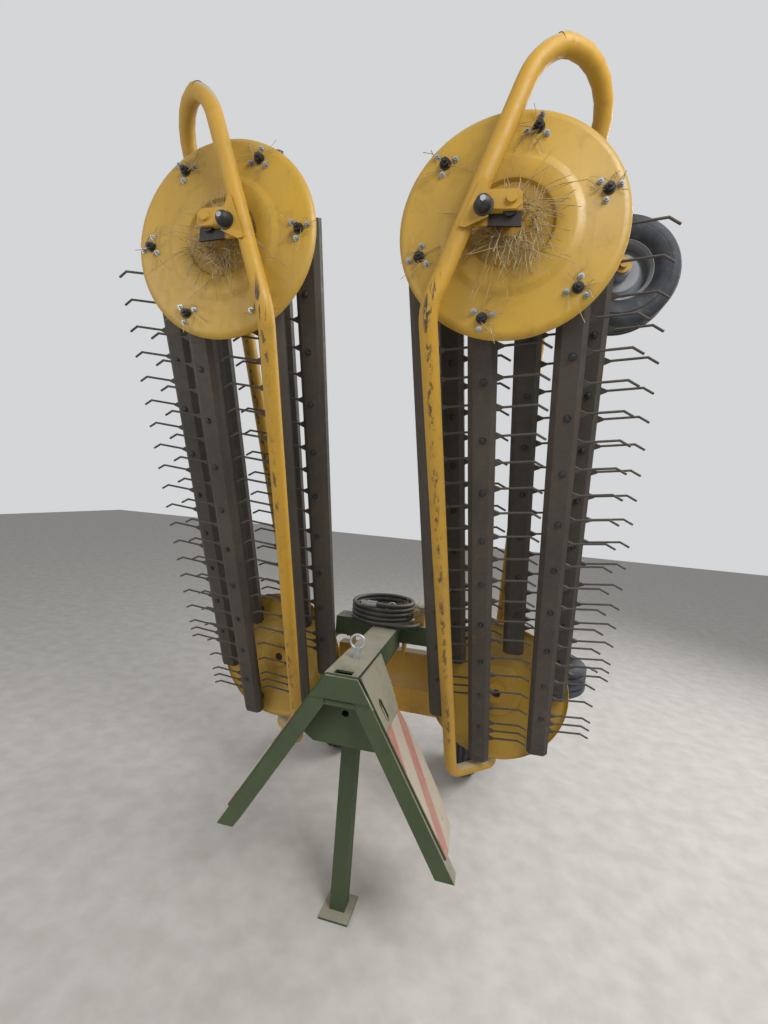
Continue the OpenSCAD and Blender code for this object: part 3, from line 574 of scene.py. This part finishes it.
def reel_disc(end, side, centre, outward):
    """Pressed disc with its raised ring, turned rim, hub, bar pins and nuts."""
    name = "%s_disc_%s" % (end, side)
    body = "%s_reel_%s" % (end, side)
    face = BACK * outward
    middle = mirrored(centre, side)
    underside = [(r - (EDGE_INSET if r > EDGE_FROM else 0), h - DISC_T) for r, h in reversed(DISC_LINE)]
    bm = bmesh.new()
    lathe(bm, DISC_LINE + underside, middle, face, DISC_STEPS)
    make_object(name + "_look", bm, DISC_YELLOW, body, 28, (name,))
    bm = bmesh.new()
    lathe(bm, HUB_LINE, middle, face, HUB_STEPS)
    make_object(name + "_hub", bm, YELLOW, body)
    pins = bmesh.new()
    bolts = bmesh.new()
    for k in range(BARS):
        spot = mirrored(centre + pin_offset(side, k), side)
        add_nut(pins, spot + face * SEAT, face, PIN_NUT_R, PIN_NUT_H, 0.5)
        add_disc(pins, spot - face * (SLEEVE_H + SEAT), face, SLEEVE_R, SLEEVE_H)
        add_disc(pins, spot - face * WASHER_BACK, face, WASHER_R, WASHER_T)
        for turn in SMALL_NUT_TURNS:
            a = math.radians(turn - 360 / BARS * k)
            beside = Vector((SMALL_NUT_CIRCLE * math.cos(a), 0, SMALL_NUT_CIRCLE * math.sin(a)))
            add_nut(bolts, spot + beside + face * SEAT, face, SMALL_NUT_R, SMALL_NUT_H, 0.6)
    make_object(name + "_pins", pins, BLACK, body)
    make_object(name + "_bolts", bolts, BRIGHT, body)


def wheel(place, side, axis):
    """Ribbed implement tyre on a dished rim, about the middle of the tyre's solid."""
    tyre_node = "%s_tyre_%s" % (place, side)
    rim_node = "%s_rim_%s" % (place, side)
    name = "%s_%s" % (place, side)
    body = "%s_wheel_%s" % (place, side)
    low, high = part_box(tyre_node)
    centre = (Vector(low) + Vector(high)) / 2
    r, w, ri = TYRE_R, TYRE_W / 2, RIM_R
    half = [(ri, -w + BEAD_INSET), (ri + 0.010, -w + 0.012), (ri + 0.016, -w + 0.008),
        (ri + 0.030, -w + 0.001), (ri + 0.045, -w), (ri + 0.048, -w + 0.003), (ri + 0.056, -w + 0.001),
        (r - 0.018, -w + 0.006), (r - 0.008, -w + 0.014), (r - 0.002, -w + 0.024), (r, -w + 0.030),
        (r, -w + 0.040), (r - 0.009, -w + 0.043), (r - 0.009, -w + 0.049), (r, -w + 0.052),
        (r, -0.007), (r - 0.009, -0.005)]
    bm = bmesh.new()
    lathe(bm, half + [(a, -b) for a, b in reversed(half)], centre, axis, TYRE_STEPS)
    make_object(name + "_tyre_look", bm, RUBBER, body, 40, (tyre_node,))
    flange = w - BEAD_INSET
    hub = w + HUB_PROUD
    rim = [(HUB_BORE, -hub), (0.030, -hub), (0.030, -0.024), (0.050, -0.032), (0.064, -0.030),
        (0.074, -0.018), (ri - 0.014, -0.012), (ri - 0.012, -flange + 0.006), (ri - 0.003, -flange - 0.004),
        (ri, -flange), (ri, flange), (ri - 0.003, flange + 0.004), (ri - 0.012, flange - 0.006),
        (ri - 0.014, -0.006), (0.074, -0.010), (0.064, -0.022), (0.050, -0.024), (0.030, -0.014),
        (0.030, hub), (HUB_BORE, hub)]
    bm = bmesh.new()
    lathe(bm, rim, centre, axis, RIM_STEPS)
    make_object(name + "_rim_look", bm, RIM_GREY, body, 35, (rim_node,))


def axle_bracket(side):
    """Gusset on the loop's tube, the folded arm that reaches the upper axle, and its domed black nut."""
    body = body_of("loop_frame_" + side)
    bm = bmesh.new()
    for depth, outline in ((GUSSET_T, GUSSET), (ARM_T, ARM)):
        face = bm.faces.new([bm.verts.new(mirrored((x, BRACKET_Y, z), side)) for x, z in outline])
        grown = bmesh.ops.extrude_face_region(bm, geom=[face])
        front = [v for v in grown["geom"] if isinstance(v, bmesh.types.BMVert)]
        bmesh.ops.translate(bm, verts=front, vec=-BACK * depth)
    for low, high in FLANGES:
        made = bmesh.ops.create_cube(bm, size=1)
        middle = mirrored((FLANGE_X, BRACKET_Y + FLANGE_BACK, (low + high) / 2), side)
        bmesh.ops.scale(bm, verts=made["verts"], vec=(FLANGE_W, FLANGE_D, high - low))
        bmesh.ops.translate(bm, verts=made["verts"], vec=middle)
    x, z = BOSS_PLACE
    boss = mirrored((x, BRACKET_Y - BOSS_PROUD, z), side)
    add_disc(bm, boss, -BACK, BOSS_R, BOSS_H, radius2=BOSS_TOP_R)
    make_object("axle_bracket_" + side, bm, YELLOW, body, 30)
    x, z = AXLE_NUT
    bm = bmesh.new()
    lathe(bm, NUT_LINE, mirrored((x, BRACKET_Y - NUT_PROUD, z), side), -BACK, NUT_STEPS)
    make_object("axle_nut_" + side, bm, BLACK, body, 40)
    bm = bmesh.new()
    add_disc(bm, mirrored((x, BRACKET_Y - CAP_PROUD, z), side), -BACK, CAP_R, CAP_H, 6)
    make_object("axle_nut_cap_" + side, bm, BRIGHT, body)


def bar_bolts(side):
    """Domed bolt heads along the folded face of each tine bar, at every second tine."""
    start = UPPER + BACK * BAR_OFFSET
    along = (LOWER - BACK * BAR_OFFSET - start).normalized()
    across = (ACROSS - along.x * along).normalized()
    out = along.cross(across)
    face = mirrored(out, side)
    for k in range(BARS):
        foot = start + pin_offset(side, k) + out * (BAR_DEPTH / 2 - BOLT_SINK) + across * BOLT_SHIFT
        bm = bmesh.new()
        for n in BOLTED_TINES:
            spot = mirrored(foot + along * (FIRST_TINE + (n + BOLT_LAG) * TINE_PITCH), side)
            for lift, radius, height, top, sides in BOLT_HEAD:
                add_disc(bm, spot + face * lift, face, radius, height, sides, top)
        body = body_of("tine_bar_%s_%d" % (side, k + 1))
        make_object("bar_bolts_%s_%d" % (side, k + 1), bm, BLACK, body)


def hose():
    """Hydraulic hose: lead from the valve block and its coil of four turns, ending in the plug."""
    line = [Vector((x, y, HOSE_Z)) for x, y in HOSE_LEAD]
    steps = COIL_STEPS * COIL_TURNS
    for i in range(steps + 1):
        a = -math.tau * (0.25 + i / COIL_STEPS)
        lift = COIL_PITCH * i / COIL_STEPS + COIL_LIFT * max(0, (i - steps) / LIFT_STEPS + 1)
        line.append(COIL_CENTRE + Vector((COIL_R * math.cos(a), COIL_R * math.sin(a), HOSE_Z + lift)))
    data = bpy.data.curves.new("hydraulic_hose", "CURVE")
    data.dimensions = "3D"
    data.bevel_depth = HOSE_D / 2
    data.bevel_resolution = 4
    data.use_fill_caps = True
    spline = data.splines.new("POLY")
    spline.points.add(len(line) - 1)
    for point, place in zip(spline.points, line):
        point.co = (*place, 1)
    spline.use_smooth = True
    data.materials.append(HOSE_BLACK)
    piece = bpy.data.objects.new("hydraulic_hose", data)
    bpy.context.scene.collection.objects.link(piece)
    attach(piece, body_of("hose_coil"))
    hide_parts("hose_lead", "hose_coil")


def straw_tangle(name, body, centre, axis, inner, outer, depth, count, seed, length, droop=0.3, rise=0.25):
    """Loose straws that start on a ring about the axis, lie round it and stand out of it."""
    pick = random.Random(seed)
    data = bpy.data.curves.new(name, "CURVE")
    data.dimensions = "3D"
    data.bevel_depth = STRAW_R
    data.bevel_resolution = 0
    axis = Vector(axis).normalized()
    side = axis.orthogonal().normalized()
    other = axis.cross(side)
    for _ in range(count):
        a = pick.uniform(0, math.tau)
        around = side * math.cos(a) + other * math.sin(a)
        tangent = -side * math.sin(a) + other * math.cos(a)
        start = centre + around * pick.uniform(inner, outer) + axis * pick.uniform(0, depth)
        aim = (around * pick.uniform(*OUTWARD) + tangent * pick.uniform(*SIDEWAYS)
            + axis * pick.uniform(0, rise)).normalized()
        aim -= axis * max(0, aim.dot(axis) - STRAW_PROUD)
        reach = length * pick.uniform(*SHARE)
        bend = Vector((pick.uniform(*BEND_X), 0, pick.uniform(*BEND_Z))) * droop * reach
        spline = data.splines.new("POLY")
        spline.points.add(STRAW_POINTS - 1)
        for i, point in enumerate(spline.points):
            t = i / (STRAW_POINTS - 1)
            point.co = (*(start + aim * reach * t + bend * t * t), 1)
            point.radius = pick.uniform(*THICKNESS)
    holder = bpy.data.objects.new(name + "_line", data)
    bpy.context.scene.collection.objects.link(holder)
    mesh = bpy.data.meshes.new_from_object(holder.evaluated_get(bpy.context.evaluated_depsgraph_get()))
    bpy.data.objects.remove(holder)
    mesh.name = name
    piece = bpy.data.objects.new(name, mesh)
    bpy.context.scene.collection.objects.link(piece)
    mesh.materials.clear()
    mesh.materials.append(STRAW)
    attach(piece, body)


def reel_straw(side):
    """Hay wound round the upper hub, longer wisps out of it, and a few straws at each bar pin."""
    reel = "upper_reel_" + side
    seed = STRAW_SEED[side]
    nest = mirrored(UPPER, side) - BACK * NEST_OUT + NEST_SHIFT
    straw_tangle("hub_straw_" + side, reel, nest, -BACK, 0.020, 0.078, 0.036, 210, seed, 0.10,
        droop=0.55, rise=0.20)
    straw_tangle("hub_wisps_" + side, reel, nest, -BACK, 0.040, 0.080, 0.020, 34, seed + 20, 0.20,
        droop=0.35, rise=0.10)
    for k in range(BARS):
        pin = mirrored(UPPER + pin_offset(side, k), side) - BACK * PIN_STRAW_OUT
        straw_tangle("pin_straw_%s_%d" % (side, k + 1), reel, pin, -BACK, 0.010, 0.030, 0.006, 9,
            10 * seed + k, 0.07, rise=0.06)


# ---- the scene ----

make_camera()
make_world()
for lamp in LAMPS:
    make_lamp(*lamp)
make_floor()
finish_cad_pieces()
hose()
for side in SIDES:
    reel_disc("upper", side, UPPER, -1)
    reel_disc("lower", side, LOWER, 1)
    for place, axis in (("outer", BACK), ("inner", UP), ("rear", ACROSS)):
        wheel(place, side, axis)
    axle_bracket(side)
    bar_bolts(side)
    reel_straw(side)
straw_tangle("beam_straw", "headstock", BEAM_STRAW, UP, 0.0, 0.055, 0.045, 260, 9, 0.10, rise=0.5)
